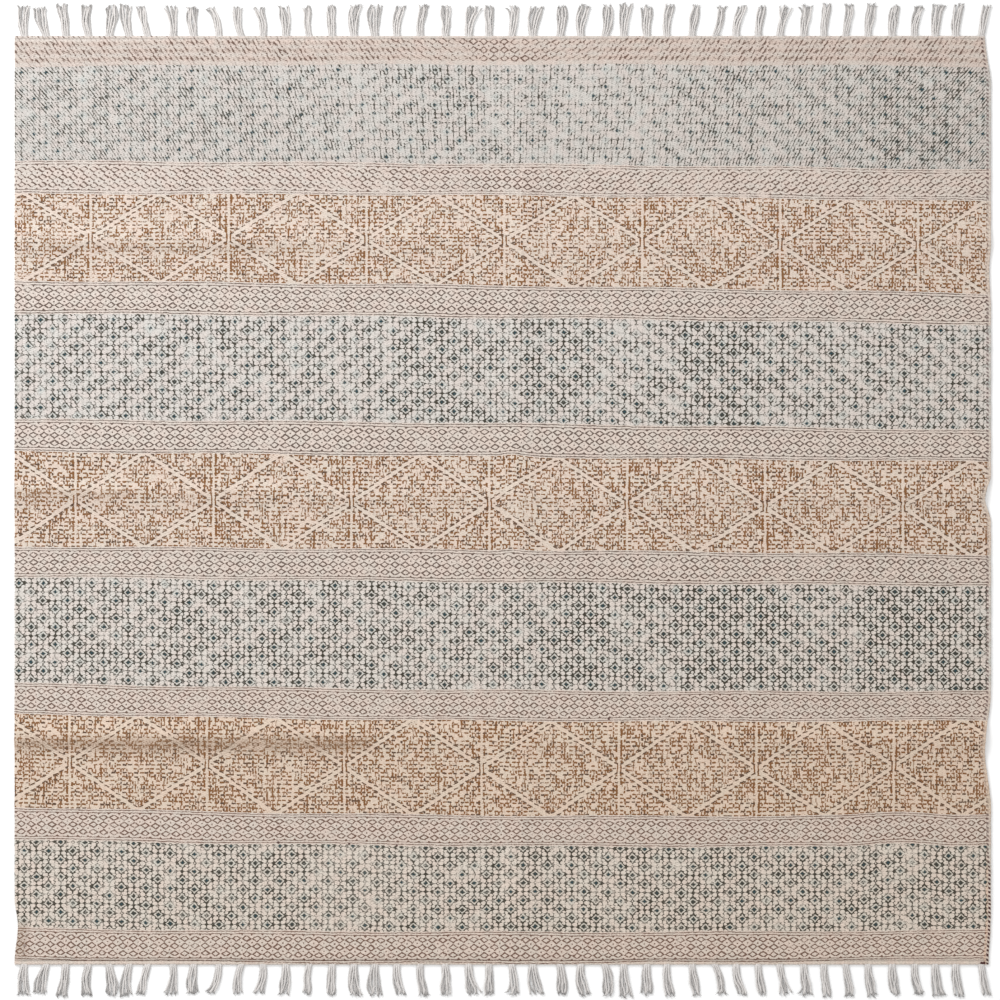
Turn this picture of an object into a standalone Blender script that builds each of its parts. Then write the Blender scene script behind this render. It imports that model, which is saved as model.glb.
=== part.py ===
"""Flat-woven cotton dhurrie rug with tassels at both ends, laid out on a floor.

Metres, +Z up. The origin is on the floor under the middle of the rug. +Y runs along the warp, from one
fringed end to the other, and +X runs across it. The cloth is one sheet that lifts off the floor along
the soft creases left by folding. Each fringe is one piece: a narrow woven heading with tassels rooted
in it, each tassel in two locks that rest on the floor.
"""

import random
from collections import namedtuple

import bmesh
import bpy
import numpy as np

MM = 0.001

# Driving dimensions
RUG_WIDTH = 1.8065  # selvedge to selvedge, at the widest
RUG_LENGTH = 1.7175  # end to end, without the tassels
THICKNESS = 0.004
HEADING_DEPTH = 0.006  # woven strip at each end that holds the tassel roots
PARTING = 0.0003  # between the cloth's end and the heading

# Places where a selvedge is drawn in: how far down from the upper end, how deep, and how far the dip
# reaches to either side, in millimetres
Dip = namedtuple("Dip", "down depth half_length")
RIGHT_DIPS = [
    Dip(0, 11, 95),  # upper corner
    Dip(440, 3, 60),
    Dip(855, 11, 45),  # middle crease
    Dip(1320, 11, 110),  # lower crease
    Dip(1717.5, 4, 90),  # lower corner
]
LEFT_DIPS = [
    Dip(1650, 6, 60),
]

# Soft ridges left by folding. A cross crease runs along X at the distance down from the upper end.
Crease = namedtuple("Crease", "down left_height middle_height right_height half_width")
CROSS_CREASES = [
    Crease(377, 4.5, 2.0, 2.5, 38),
    Crease(848, 5.5, 2.0, 4.5, 34),
    Crease(1299, 6.0, 2.5, 6.0, 44),
]
CENTRE_FOLD_X = 0.032
CENTRE_FOLD_HEIGHT = 0.0035
CENTRE_FOLD_HALF_WIDTH = 0.055
END_FLATTENING = 0.070  # the centre fold dies out over this length before each end
RIDGE_STEPS = (-1.0, -0.5, 0.0, 0.5, 1.0)  # shares of a ridge's half width
DIP_STEPS = (-1.0, -0.5, 0.0, 0.5, 1.0)  # shares of a dip's half length
PLAIN_COLUMNS = (-1.0, -0.9, -0.5, 0.5, 0.9, 1.0)  # shares of half the width

# Tassels from left to right, a stretch of like ones to a row, in millimetres: how many, how far apart
# their roots are, how far their tips lean to the right and how much that varies, their reach, and the
# width of their tips
Stretch = namedtuple("Stretch", "tassels pitch lean lean_spread reach tip_width")
TASSEL_STRETCHES = [
    Stretch(6, 38, -3, 13, 59, 21),
    Stretch(9, 42, -8, 6, 56, 17),
    Stretch(10, 42, 5, 5, 57, 21),
    Stretch(5, 41, 6, 5, 59, 20),
    Stretch(14, 41, 10, 5, 59, 18),
]
FIRST_ROOT = 21  # millimetres from the left selvedge
ROOT_SPREAD = 4  # by how much each tassel may differ from its stretch, in millimetres
REACH_SPREAD = 3
TIP_SPREAD = 3.5
TIP_CLEARANCE = 1.5  # between two tips
TASSEL_SEED = 3
# One tassel, in millimetres: its root's place from the left selvedge, how far its tip leans to the right,
# its reach, and the width of its tip
Tassel = namedtuple("Tassel", "root lean reach tip_width")
LOCKS = 2  # to a tassel, side by side
LOCK_ENDS = ((1.0, 0.93), (0.95, 1.0))  # share of the reach, turn and turn about
ROOT_WIDTH = 0.0120  # all the locks of a tassel, at the heading
ROOT_GAP = 0.0006  # between two locks there
TIP_GAP = 0.0020
TIP_THICKNESS = 0.0024

# Finish
CLOTH_COLOUR = (0.50, 0.44, 0.37)
YARN_COLOUR = (0.66, 0.62, 0.58)
COTTON_ROUGHNESS = 0.95


def clear_scene():
    for obj in list(bpy.data.objects):
        bpy.data.objects.remove(obj, do_unlink=True)


def cotton(name, colour):
    """Dry matt cotton in one colour."""
    material = bpy.data.materials.new(name)
    material.use_nodes = True
    surface = material.node_tree.nodes["Principled BSDF"]
    surface.inputs["Base Color"].default_value = (*colour, 1.0)
    surface.inputs["Roughness"].default_value = COTTON_ROUGHNESS
    surface.inputs["Metallic"].default_value = 0.0
    return material


def add_object(name, bm, material):
    """Turns a finished bmesh into a named object, with its faces pointing outwards."""
    bmesh.ops.recalc_face_normals(bm, faces=bm.faces)
    mesh = bpy.data.meshes.new(name)
    bm.to_mesh(mesh)
    bm.free()
    mesh.materials.append(material)
    obj = bpy.data.objects.new(name, mesh)
    bpy.context.scene.collection.objects.link(obj)
    return obj


def ridge(distance, half_width):
    """Share of a ridge's height at this distance from its crest."""
    reach = min(abs(distance) / half_width, 1.0)
    return 0.5 + 0.5 * np.cos(np.pi * reach)


def inset_at(dips, down):
    """How far a selvedge with these dips lies inside its straight line."""
    return sum(MM * dip.depth * ridge(down - MM * dip.down, MM * dip.half_length) for dip in dips)


def lift(x, y):
    """How far the cloth's underside stands off the floor."""
    down = RUG_LENGTH / 2 - y
    across = 2 * x / RUG_WIDTH
    height = 0.0
    for crease in CROSS_CREASES:
        heights = (crease.left_height, crease.middle_height, crease.right_height)
        crest = MM * np.interp(across, (-1.0, 0.0, 1.0), heights)
        height += crest * ridge(down - MM * crease.down, MM * crease.half_width)
    to_end = RUG_LENGTH / 2 - HEADING_DEPTH - PARTING - abs(y)
    flattened = min(max(to_end, 0.0) / END_FLATTENING, 1.0)
    height += CENTRE_FOLD_HEIGHT * flattened * ridge(x - CENTRE_FOLD_X, CENTRE_FOLD_HALF_WIDTH)
    return height


def cloth_rows():
    """Y of each line across the cloth: along each dip of a selvedge and each crease."""
    end = RUG_LENGTH / 2 - HEADING_DEPTH - PARTING
    rows = {end, -end, end - END_FLATTENING, END_FLATTENING - end}
    for dip in RIGHT_DIPS + LEFT_DIPS:
        for step in DIP_STEPS:
            rows.add(RUG_LENGTH / 2 - MM * (dip.down + step * dip.half_length))
    for crease in CROSS_CREASES:
        for step in RIDGE_STEPS:
            rows.add(RUG_LENGTH / 2 - MM * (crease.down + step * crease.half_width))
    kept = []
    for y in sorted(row for row in rows if abs(row) <= end):
        if not kept or y - kept[-1] > 4 * MM or y == end:
            kept.append(y)
    return kept


def cloth_columns():
    """X of each line along the cloth, where it is at its widest."""
    plain = [share * RUG_WIDTH / 2 for share in PLAIN_COLUMNS]
    fold = [CENTRE_FOLD_X + step * CENTRE_FOLD_HALF_WIDTH for step in RIDGE_STEPS]
    return sorted(plain + fold)


def between_selvedges(x, y):
    """X of a lengthwise line at this Y, drawn in with the selvedge on its side."""
    down = RUG_LENGTH / 2 - y
    if x > 0:
        return x - inset_at(RIGHT_DIPS, down) * (2 * x / RUG_WIDTH) ** 8
    return x + inset_at(LEFT_DIPS, down) * (2 * x / RUG_WIDTH) ** 8


def build_cloth():
    rows = cloth_rows()
    columns = cloth_columns()
    bm = bmesh.new()
    grid = []
    for y in rows:
        xs = [between_selvedges(x, y) for x in columns]
        grid.append([bm.verts.new((x, y, lift(x, y))) for x in xs])
    for near, far in zip(grid, grid[1:]):
        for i in range(len(columns) - 1):
            bm.faces.new((near[i], near[i + 1], far[i + 1], far[i]))
    raised = bmesh.ops.extrude_face_region(bm, geom=list(bm.faces))
    upper = [item for item in raised["geom"] if isinstance(item, bmesh.types.BMVert)]
    bmesh.ops.translate(bm, verts=upper, vec=(0, 0, THICKNESS))
    return add_object("rug_body", bm, cotton("printed_cotton", CLOTH_COLOUR))


def lay_out_tassels():
    """One end's tassels from left to right, all a little different, with their tips apart."""
    chance = random.Random(TASSEL_SEED)
    tassels = []
    stretch_start = FIRST_ROOT
    tip_edge = 0.0
    for stretch in TASSEL_STRETCHES:
        for number in range(stretch.tassels):
            root = stretch_start + number * stretch.pitch + chance.uniform(-ROOT_SPREAD, ROOT_SPREAD)
            drawn = stretch.lean + chance.uniform(-stretch.lean_spread, stretch.lean_spread)
            reach = stretch.reach + chance.uniform(-REACH_SPREAD, REACH_SPREAD)
            tip_width = stretch.tip_width + chance.uniform(-TIP_SPREAD, TIP_SPREAD)
            least = tip_edge + TIP_CLEARANCE + tip_width / 2 - root
            most = RUG_WIDTH / MM - root - tip_width / 2
            lean = min(max(drawn, least), most)
            tassels.append(Tassel(root, lean, reach, tip_width))
            tip_edge = root + lean + tip_width / 2
        stretch_start += stretch.tassels * stretch.pitch
    return tassels


def lock_edges(tassel, lock, share):
    """Left and right X of one lock at this share of its tassel's reach; lock 0 is the leftmost."""
    tassel_width = ROOT_WIDTH + share * (MM * tassel.tip_width - ROOT_WIDTH)
    gap = ROOT_GAP + share * (TIP_GAP - ROOT_GAP)
    width = (tassel_width + gap) / LOCKS - gap
    middle = MM * (tassel.root + share * tassel.lean) - RUG_WIDTH / 2
    left = middle - tassel_width / 2 + lock * (width + gap)
    return left, left + width


def place_tip(face, left, right, y, height):
    """Moves a lock's end face out to its tip, flat on the floor."""
    centre = face.calc_center_median()
    for vert in face.verts:
        x = right if vert.co.x > centre.x else left
        z = height if vert.co.z > centre.z else 0.0
        vert.co = (x, y, z)


def build_fringe(name, end):
    """The heading and tassels of one end; end is 1 at +Y and -1 at -Y."""
    tassels = lay_out_tassels()
    inner = end * (RUG_LENGTH / 2 - HEADING_DEPTH)
    outer = end * RUG_LENGTH / 2
    left = inset_at(LEFT_DIPS, RUG_LENGTH / 2 - outer) - RUG_WIDTH / 2
    right = RUG_WIDTH / 2 - inset_at(RIGHT_DIPS, RUG_LENGTH / 2 - outer)
    roots = {}
    breaks = [left, right]
    for row, tassel in enumerate(tassels):
        for lock in range(LOCKS):
            edges = lock_edges(tassel, lock, 0.0)
            roots[row, lock] = edges
            breaks.extend(edges)
    breaks.sort()

    bm = bmesh.new()
    low, high = [], []
    for x in breaks:
        low.append(bm.verts.new((x, outer, 0.0)))
        high.append(bm.verts.new((x, outer, THICKNESS)))
    back_low = [bm.verts.new((x, inner, 0.0)) for x in (right, left)]
    back_high = [bm.verts.new((x, inner, THICKNESS)) for x in (right, left)]
    bm.faces.new(low + back_low)
    bm.faces.new(high + back_high)
    bm.faces.new((*back_low, *reversed(back_high)))
    bm.faces.new((low[-1], back_low[0], back_high[0], high[-1]))
    bm.faces.new((low[0], back_low[1], back_high[1], high[0]))
    front = {}
    for i, x in enumerate(breaks[:-1]):
        front[x] = bm.faces.new((low[i], low[i + 1], high[i + 1], high[i]))

    for (row, lock), (root_left, _) in roots.items():
        tassel = tassels[row]
        share = LOCK_ENDS[row % 2][lock]
        tip = bmesh.ops.extrude_discrete_faces(bm, faces=[front[root_left]])["faces"][0]
        y = outer + end * share * MM * tassel.reach
        height = THICKNESS + share * (TIP_THICKNESS - THICKNESS)
        place_tip(tip, *lock_edges(tassel, lock, share), y, height)
    return add_object(name, bm, cotton(name + "_yarn", YARN_COLOUR))


clear_scene()
build_cloth()
build_fringe("fringe_top", 1)
build_fringe("fringe_bottom", -1)
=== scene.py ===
"""Looks of a flat-woven cotton dhurrie rug with block-printed cross bands and tassels at both ends.

The file is laid out as a Blender add-on and is run as a script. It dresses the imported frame: the cloth is
one closed sheet on the frame's folds, the fringes are twisted yarns rooted in the cloth's headings, and the
prints, the weave and the soiling are procedural materials. Metres, +Z up.
"""

import math
import random
from collections import namedtuple

import bmesh
import bpy
import numpy as np
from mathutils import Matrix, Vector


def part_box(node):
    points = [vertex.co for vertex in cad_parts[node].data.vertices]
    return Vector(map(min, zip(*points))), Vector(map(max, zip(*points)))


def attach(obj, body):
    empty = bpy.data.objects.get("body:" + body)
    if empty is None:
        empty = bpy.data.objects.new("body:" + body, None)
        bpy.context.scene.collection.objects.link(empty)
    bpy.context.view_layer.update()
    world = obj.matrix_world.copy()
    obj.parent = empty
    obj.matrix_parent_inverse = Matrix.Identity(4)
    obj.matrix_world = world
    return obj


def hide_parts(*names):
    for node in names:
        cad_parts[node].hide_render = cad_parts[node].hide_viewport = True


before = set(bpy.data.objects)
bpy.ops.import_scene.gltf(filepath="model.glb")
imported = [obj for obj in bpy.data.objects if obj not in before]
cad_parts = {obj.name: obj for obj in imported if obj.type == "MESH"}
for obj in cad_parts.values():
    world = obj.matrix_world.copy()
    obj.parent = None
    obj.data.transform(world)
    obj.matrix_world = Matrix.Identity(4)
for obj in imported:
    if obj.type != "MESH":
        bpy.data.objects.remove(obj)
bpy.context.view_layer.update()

bl_info = {
    "name": "Dhurrie rug",
    "version": (1, 0, 0),
    "blender": (4, 5, 0),
    "location": "3D View > Sidebar > Rug",
    "description": "Prints the cloth and lays the yarns of a flat-woven cotton rug",
    "category": "Add Mesh",
}

MM = 0.001


def table(columns, *rows):
    """Rows with named columns."""
    row = namedtuple("Row", columns)
    return [row(*values) for values in rows]


# The frame's own sizes
CLOTH_LOW, CLOTH_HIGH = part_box("rug_body")
FRINGE_LOW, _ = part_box("fringe_top")
RUG_WIDTH = CLOTH_HIGH[0] - CLOTH_LOW[0]
CLOTH_END = FRINGE_LOW[1]  # the cloth and the heading are one weave, so they meet here
HEADING_DEPTH = 0.006
HEADING_END = CLOTH_END + HEADING_DEPTH
RUG_LENGTH = 2 * HEADING_END
THICKNESS = 0.004

# Places where a selvedge is drawn in: how far down from the upper end, how deep, and how far the dip
# reaches to either side, in millimetres
RIGHT_DIPS = table(
    "down depth half_length",
    (0, 11, 95),
    (440, 3, 60),
    (855, 11, 45),
    (1320, 11, 110),
    (1717.5, 4, 90),
)
LEFT_DIPS = table("down depth half_length", (1650, 6, 60))

# Soft ridges left by folding. A cross crease runs along X at the distance down from the upper end.
CROSS_CREASES = table(
    "down left_height middle_height right_height half_width",
    (377, 4.5, 2.0, 2.5, 38),
    (848, 5.5, 2.0, 4.5, 34),
    (1299, 6.0, 2.5, 6.0, 44),
)
CENTRE_FOLD_X = 0.032
CENTRE_FOLD_HEIGHT = 0.0035
CENTRE_FOLD_HALF_WIDTH = 0.055
END_FLATTENING = 0.070

# Slight unevenness of the laid cloth: long low waves, in millimetres
WAVES = table(
    "length_x length_y height phase",
    (310, 190, 0.40, 0.4),
    (-170, 260, 0.35, 2.1),
    (95, -140, 0.20, 4.0),
    (70, 75, 0.14, 1.3),
)
SELVEDGE_RIPPLES = table(  # how unevenly the weft turns at the selvedges
    "length height phase",
    (61, 0.45, 0.3),
    (27, 0.35, 1.9),
)
INSET_FADING = 8  # the power by which a selvedge's dips fade out towards the middle
ROUNDING = (0.0, 0.0006, 0.0016, 0.0034)  # distances in from a rounded edge
ROUNDING_DEPTH = 0.0013
ROUNDING_BELOW = 0.6  # of the underside, as a share of the top's
UNDER_STEP = 4  # the underside's faces are this many of the top's long and wide

# Edges between the printed bands, in millimetres down from the upper end: at the left selvedge, in the
# middle and at the right. The blocks were set by hand, so the edges drift.
BAND_EDGES = table(
    "left middle right",
    (6, 1, 3),
    (54, 50, 54),
    (233, 239, 250),
    (290, 293, 304),
    (455, 464, 479),
    (511, 519, 532),
    (711, 719, 732),
    (766, 776, 785),
    (946, 953, 962),
    (998, 1008, 1015),
    (1199, 1212, 1214),
    (1251, 1264, 1263),
    (1428, 1444, 1441),
    (1484, 1496, 1495),
    (1652, 1659, 1655),
    (1706, 1714, 1704),
)
# Where an edge bows up towards the upper end: which edge, X, how far, and how wide to either side, in
# millimetres. Cloth has slipped under the block there.
BOWS = table(
    "edge at rise half_width",
    (7, 20, 4.0, 45),
    (8, 20, 3.0, 45),
    (12, 735, 5.5, 115),
    (13, 735, 7.5, 115),
)
EDGE_WANDER = 1.3  # how far, in millimetres, an edge wavers about its course
WANDER_LENGTH = 430
WANDER_STAGGER = 1.7  # radians from one edge's waver to the next one's
LATTICE_OVERLAP = 2.8  # a lattice's outer lines lie this far, in millimetres, inside its printed zone

# The bands from the upper end down: the block, the height that it fills between its edges (0 for a net,
# which runs on and is cut off), its repeat across, how far the repeat is shifted across and down, in
# millimetres, how strongly it was inked, how brown its ink is, and how far its strokes are smeared aslant
BANDS = table(
    "block height pitch across down strength brown smear",
    ("lattice", 48.0, 19.1, 3, 0, 1.04, 0.6, 0.95),
    ("net", 0, 45.0, 10, 13, 0.96, 0.1, 0.9),
    ("lattice", 57.4, 19.1, 8, 0, 1.06, 0.5, 0.42),
    ("fret", 178, 255, -762, 0, 1.04, 0.0, 0.35),
    ("lattice", 57.4, 19.1, 1, 0, 1.01, 0.3, 0.2),
    ("net", 0, 45.0, 0, 13, 1.01, 0.0, 0.35),
    ("lattice", 57.4, 19.4, 5, 0, 0.98, 0.3, 0.1),
    ("fret", 178, 255, -790, 0, 1.03, 0.1, 0.15),
    ("lattice", 57.4, 19.1, 11, 0, 0.97, 0.4, 0.1),
    ("net", 0, 45.0, 5, 13, 1.03, 0.2, 0.12),
    ("lattice", 57.4, 18.6, 2, 0, 0.97, 0.7, 0.1),
    ("fret", 178, 254, -801, 0, 1.04, 1.0, 0.05),
    ("lattice", 57.4, 19.1, 7, 0, 0.97, 0.9, 0.1),
    ("net", 0, 45.0, 15, 22, 1.02, 1.0, 0.0),
    ("lattice", 57.4, 19.1, 4, 0, 0.98, 1.0, 0.0),
)
BLOCK_PITCH = {"lattice": 19.1, "net": 45.0, "fret": 255.0}
BLOCKS = tuple(BLOCK_PITCH)

# Patches that are inked more than the rest, and patches of painted shade, in millimetres from the cloth's
# upper left corner
INK_PATCHES = table(
    "left right upper lower strength",
    (700, 870, 55, 240, 0.12),
    (1590, 1760, 55, 240, 0.17),
    (700, 830, 515, 720, 0.10),
    (950, 1070, 515, 720, 0.09),
    (1230, 1380, 515, 720, 0.15),
    (1010, 1090, 1008, 1205, 0.14),
    (1240, 1430, 1008, 1205, 0.12),
    (1570, 1770, 1008, 1205, 0.14),
    (830, 900, 1008, 1205, -0.03),
    (540, 700, 1495, 1655, -0.08),
)
# Painted shade below the crests of the cross creases, in a brown tint, and one dark patch at the left
# selvedge
CREASE_SHADE_PATCHES = table(
    "left right upper lower strength",
    (0, 660, 1297, 1319, 0.55),
    (150, 620, 1306, 1334, 0.16),
    (0, 210, 842, 852, 0.55),
    (210, 420, 843, 850, 0.25),
    (60, 560, 384, 400, 0.18),
    (0, 24, 1640, 1705, 0.45),
)
INK_RIM, CREASE_SHADE_RIM = 0.040, 0.016  # over which the patches fade out
# The inking grows a little to the right, and downwards as far as a share of the length. The cloth grows
# greyer and darker to the right and downwards: partly its own tint, partly painted light falloff.
INKING_LEAST, INKING_ACROSS, INKING_DOWN, INKING_SETTLED = 0.95, 0.01, 0.04, 0.35
SHADE_ACROSS, SHADE_DOWN = 0.40, 0.70

# Small dark marks: X and Y in millimetres, radius, and how dark
SPOTS = table(
    "x y radius strength",
    (886, -856.6, 3.2, 1.0),
    (890.5, -855.4, 2.6, 1.0),
    (590, 3.4, 2.0, 0.8),
    (-415, -633.0, 2.6, 0.9),
    (-284, -635.5, 2.2, 0.9),
    (-196, -638.5, 2.4, 0.9),
    (196, -404.0, 2.3, 0.9),
    (302, -157.0, 2.0, 0.8),
    (-884, -824.0, 3.0, 0.5),
    (-886, -838.0, 2.2, 0.5),
)
# A dark broken line down the cloth: X, from Y to Y in millimetres, and how dark
STREAKS = table(
    "x upper lower strength",
    (1.5, -150, -350, 0.75),
    (-23, -560, -625, 0.25),
)
# The right selvedge, in millimetres. Its dark weft turns show in a seam, which runs closer to the edge in the
# lower part, where the cloth beside it is left bare and pinkish.
SELVEDGE_BARE = 4.5  # how wide the selvedge is left almost unprinted
STITCH_PITCH = 7.8  # of the dark turns
SEAM_UPPER, SEAM_LOWER, SEAM_HALF_WIDTH = 6.4, 2.9, 2.2
LOWER_FROM, LOWER_TO = 1480, 1570  # down from the upper end
STRIP_AT, STRIP_HALF_WIDTH = 7.6, 2.4
FAR_IN = 900.0  # the place of what is nowhere near the selvedge

# Tassels from left to right, a stretch of like ones to a row, in millimetres: how many, how far apart
# their roots are, how far their tips lean to the right and how much that varies, their reach, and the
# width of their tips
TASSEL_STRETCHES = table(
    "tassels pitch lean lean_spread reach tip_width",
    (6, 38, -3, 13, 59, 21),
    (9, 42, -8, 6, 56, 17),
    (10, 42, 5, 5, 57, 21),
    (5, 41, 6, 5, 59, 20),
    (14, 41, 10, 5, 59, 18),
)
FIRST_ROOT = 21
ROOT_SPREAD = 4
REACH_SPREAD = 3
TIP_SPREAD = 3.5
TIP_CLEARANCE = 1.5
TASSEL_SEED = 3
Tassel = namedtuple("Tassel", "root lean reach tip_width")
ROOT_WIDTH = 0.0120

# Yarns, each from its root at share 0 to its tip at share 1
YARN_SEED = 11
YARN_SIDES = 8
YARN_STATIONS = 30
YARN_START = 0.003  # how far inside the heading a yarn begins
TWIST_LENGTH = 0.015  # in which a yarn turns once
TWIST_STAGGER = 2.4  # radians from one yarn's twist to the next one's
PLIES = 2
PLY_DEPTH = 0.16  # of the groove between them, as a share of the yarn's radius
CROSSING_CHANCE = 0.5  # that two neighbours change places
TASSEL_BEND, TASSEL_BULGE = 4.5, 0.3  # millimetres to either side, and a share of the width
CURL, FLICK = (0.4, 1.8), 4.0  # millimetres
FLICK_FROM, CUT_FROM, END_FROM = 0.76, 0.92, 0.985  # shares along a yarn
YARN_REACH = (0.88, 0.985)  # shares of the tassel's
LOWEST, LAYER_HEIGHT = 0.59, 0.70  # of the yarns' middles, as shares of their thickness
HAIRS = 4  # at each yarn's end
HAIR_SIDES = 3
HAIR_STEP, HAIR_FAN = (1.2, 2.6), 0.9  # millimetres, and how far aside for each step ahead
HAIR_RADII = (0.45, 0.35, 0.15)  # millimetres, from root to tip
HAIR_TONES = (0.35, 0.45, 0.55)

# Shares of the bake map. A sheet has its top over its underside over a thin strip for its rim.
BAKE_SIDE = 0.002
TOP_FROM, TOP_HEIGHT = 0.14, 0.855
UNDER_FROM, UNDER_HEIGHT = 0.03, 0.10
RIM_CORNERS = (0.022, 0.022, 0.004, 0.004)
HEADING_BAKE = 0.08
YARNS_FROM, YARNS_HEIGHT = 0.10, 0.86
HAIRS_FROM, HAIR_WIDTH, HAIR_HEIGHT = 0.965, 0.0008, 0.03
STRIP_MARGIN = np.array([0.02, 0.15])  # of a strand's strip, along and around the strand

# Stage
VIEW_CENTRE = (-0.0051, 0.0005)
VIEW_WIDTH = 1.85
CAMERA_HEIGHT = 12.0
SENSOR = 36.0
FLOOR_SIZE, FLOOR_DROP = 60.0, 0.0004
FLOOR_COLOUR = (0.9, 0.9, 0.9, 1.0)
ROOM_LIGHT = 0.95
KEY_SIZE, KEY_ENERGY = 2.5, 260.0
KEY_PLACE, KEY_TILT = (-3.0, 4.2, 3.4), (-50, -30, 0)


# ---------------------------------------------------------------- sizes and colours a user would change


def length(name, use, default, **limits):
    return bpy.props.FloatProperty(name=name, description=use, default=default, unit="LENGTH", **limits)


def colour(name, use, *default):
    return bpy.props.FloatVectorProperty(name=name, description=use, subtype="COLOR", default=default)


class RugSizes(bpy.types.PropertyGroup):
    grid: length("Grid", "Spacing of the cloth's mesh", 0.008, min=0.004)
    warp_pitch: length("Warp pitch", "Between two warp ends", 0.0043)
    pick_pitch: length("Pick pitch", "Between two picks of the weft", 0.0018)
    yarn_thickness: length("Yarn thickness", "Of one yarn in a tassel", 0.0033)
    yarns: bpy.props.IntProperty(name="Yarns", description="In each tassel", default=7, min=3, max=10)


class RugColours(bpy.types.PropertyGroup):
    ground: colour("Ground", "Unprinted cotton", 0.68, 0.622, 0.575)
    brown_ink: colour("Brown ink", "Lattices, where brown", 0.150, 0.086, 0.064)
    grey_ink: colour("Grey ink", "Lattices, where grey", 0.105, 0.083, 0.073)
    net_ink: colour("Net ink", "Grey-green lines of the nets", 0.050, 0.045, 0.034)
    core_ink: colour("Core ink", "Blue-grey diamonds of the nets", 0.024, 0.056, 0.070)
    fret_ink: colour("Fret ink", "Tan of the fretted rhombi", 0.205, 0.095, 0.037)
    fret_dark_ink: colour("Dark fret ink", "Brown of the frets' edges", 0.085, 0.055, 0.040)
    # Painted shade below the crests of the creases, in a brown tint
    soil: colour("Soil", "Dirt along the creases", 0.20, 0.115, 0.065)
    stitch: colour("Stitch", "Dark weft at the selvedge", 0.055, 0.018, 0.016)
    yarn: colour("Yarn", "Unprinted yarn of the tassels", 0.66, 0.63, 0.61)


def sizes():
    return bpy.context.scene.rug_sizes


def colours():
    return bpy.context.scene.rug_colours


# ---------------------------------------------------------------- the cloth's shape


def ridge(distance, half_width):
    """Share of a ridge's height at this distance from its crest."""
    reach = np.minimum(np.abs(distance) / half_width, 1.0)
    return 0.5 + 0.5 * np.cos(np.pi * reach)


def inset_at(dips, down):
    """How far a selvedge with these dips lies inside its straight line."""
    return sum(MM * dip.depth * ridge(down - MM * dip.down, MM * dip.half_length) for dip in dips)


def between_selvedges(x, y):
    """X of the cloth's lengthwise lines at Y, drawn in with the selvedge on their side."""
    down = RUG_LENGTH / 2 - y
    inset = np.where(x > 0, inset_at(RIGHT_DIPS, down), inset_at(LEFT_DIPS, down))
    for ripple in SELVEDGE_RIPPLES:
        angle = 2 * np.pi * y / (MM * ripple.length) + ripple.phase
        inset += MM * ripple.height * (1 + np.sin(angle)) / 2
    return x - np.sign(x) * inset * (2 * x / RUG_WIDTH) ** INSET_FADING


def lift(x, y):
    """How far the cloth's underside stands off the floor."""
    down = RUG_LENGTH / 2 - y
    across = 2 * x / RUG_WIDTH
    height = np.zeros_like(x)
    for crease in CROSS_CREASES:
        heights = (crease.left_height, crease.middle_height, crease.right_height)
        crest = MM * np.interp(across, (-1.0, 0.0, 1.0), heights)
        height += crest * ridge(down - MM * crease.down, MM * crease.half_width)
    flattened = np.clip((CLOTH_END - np.abs(y)) / END_FLATTENING, 0.0, 1.0)
    height += CENTRE_FOLD_HEIGHT * flattened * ridge(x - CENTRE_FOLD_X, CENTRE_FOLD_HALF_WIDTH)
    for wave in WAVES:
        angle = 2 * np.pi * (x / (MM * wave.length_x) + y / (MM * wave.length_y)) + wave.phase
        height += MM * wave.height * flattened * (1 + np.sin(angle)) / 2
    return height


def edge_down(number, x):
    """How far down from the upper end an edge between two bands runs at X."""
    edge = BAND_EDGES[number]
    across = 2 * x / RUG_WIDTH
    sag = (edge.left + edge.right) / 2 - edge.middle
    course = edge.middle + (edge.right - edge.left) / 2 * across + sag * across**2
    wander = EDGE_WANDER * np.sin(2 * np.pi * x / (MM * WANDER_LENGTH) + WANDER_STAGGER * number)
    bows = sum(bow.rise * ridge(x - MM * bow.at, MM * bow.half_width) for bow in BOWS if bow.edge == number)
    return MM * (course + wander - bows)


def print_place(number, x, y):
    """Where the points lie on a band's printing block, in millimetres across and down."""
    band = BANDS[number]
    down = RUG_LENGTH / 2 - y
    upper = edge_down(number, x)
    if band.height:
        share = (down - upper) / (edge_down(number + 1, x) - upper)
        v = (share - 0.5) * band.height
    else:
        v = (down - upper) / MM - band.down
    return (x / MM - band.across) * BLOCK_PITCH[band.block] / band.pitch, v


def band_lines(columns):
    """Lines across the cloth as rows of distances down, with the band below each line."""
    first_down, last_down = RUG_LENGTH / 2 - CLOTH_END, RUG_LENGTH / 2 + CLOTH_END
    lines, owners = [], []
    for number, band in enumerate(BANDS):
        overlap = MM * LATTICE_OVERLAP * (-1 if band.block == "lattice" else 1)
        upper = edge_down(number, columns) + overlap
        lower = edge_down(number + 1, columns) - overlap
        if number == 0:
            upper = np.full_like(columns, first_down)
        if number == len(BANDS) - 1:
            lower = np.full_like(columns, last_down)
        steps = max(2, round(float((lower - upper).mean()) / sizes().grid))
        for step in range(steps):
            lines.append(upper + (lower - upper) * step / steps)
            owners.append(number)
    lines.append(np.full_like(columns, last_down))
    return np.array(lines), owners


def cloth_columns():
    """X of the lengthwise lines, closer together at the rounded selvedges."""
    half = RUG_WIDTH / 2
    inner = np.linspace(-half + ROUNDING[-1], half - ROUNDING[-1], round(RUG_WIDTH / sizes().grid))
    left = -half + np.array(ROUNDING[:-1])
    return np.concatenate([left, inner, -left[::-1]])


def rounded_off(distance):
    """How far a rounded edge falls back at this distance in from it."""
    reach = np.clip(1.0 - distance / ROUNDING[-1], 0.0, 1.0)
    return ROUNDING_DEPTH * (1.0 - np.sqrt(1.0 - reach**2))


# ---------------------------------------------------------------- one mesh of several parts

# Each face has a material slot and a band. Each corner of a face has a pair in the UV map of the printing
# block (lays) and in the bake map (bakes). Each vertex has a tone and a margin, which is how far in from the
# right selvedge it lies, in millimetres.
Part = namedtuple("Part", "faces places slots bands lays bakes tones margins")


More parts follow.
